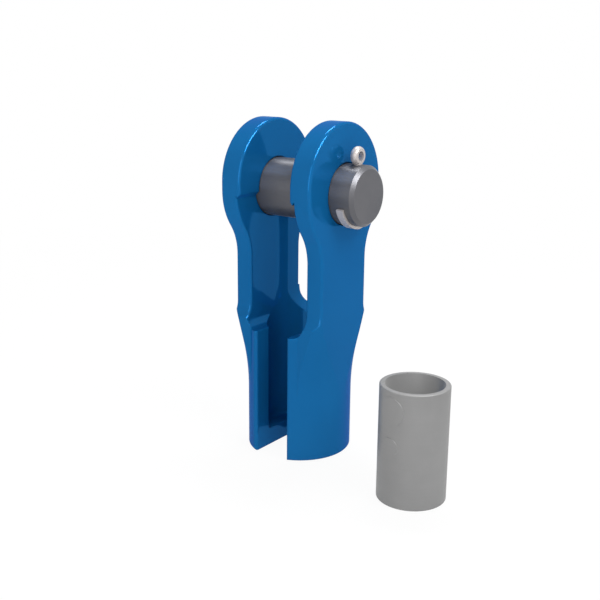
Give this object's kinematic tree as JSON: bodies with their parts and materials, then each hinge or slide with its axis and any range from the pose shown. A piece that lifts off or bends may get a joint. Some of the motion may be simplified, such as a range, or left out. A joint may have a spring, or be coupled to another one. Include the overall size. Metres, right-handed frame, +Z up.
{
  "type": "open button socket",
  "caption": "Open wire rope end socket: slotted basket, two eyed cheeks, turning cross pin held by split pins, and its loose button sleeve.",
  "frame": {"origin": "on the rope axis, in the plane of the basket's lower face", "axes": "+Z up along the rope axis, X along the cross pin, the rope slot opens toward -Y"},
  "size_m": [0.2313, 0.1138, 0.288],
  "materials": {
    "blue_paint": "glossy blue paint on cast steel",
    "pin_steel": "plain dark grey forged steel",
    "zinc_wire": "bright zinc-plated wire",
    "sleeve_steel": "plain matt grey steel"
  },
  "bodies": {
    "socket": {"socket_body": "blue_paint", "button_sleeve": "sleeve_steel"},
    "pin": {"clevis_pin": "pin_steel", "split_pin_right": "zinc_wire", "split_pin_left": "zinc_wire"}
  },
  "joints": [
    {"name": "pin_turn", "type": "hinge", "parent": "socket", "child": "pin", "pos_m": [0, 0, 0.2295], "axis": [1, 0, 0], "continuous": true}
  ]
}
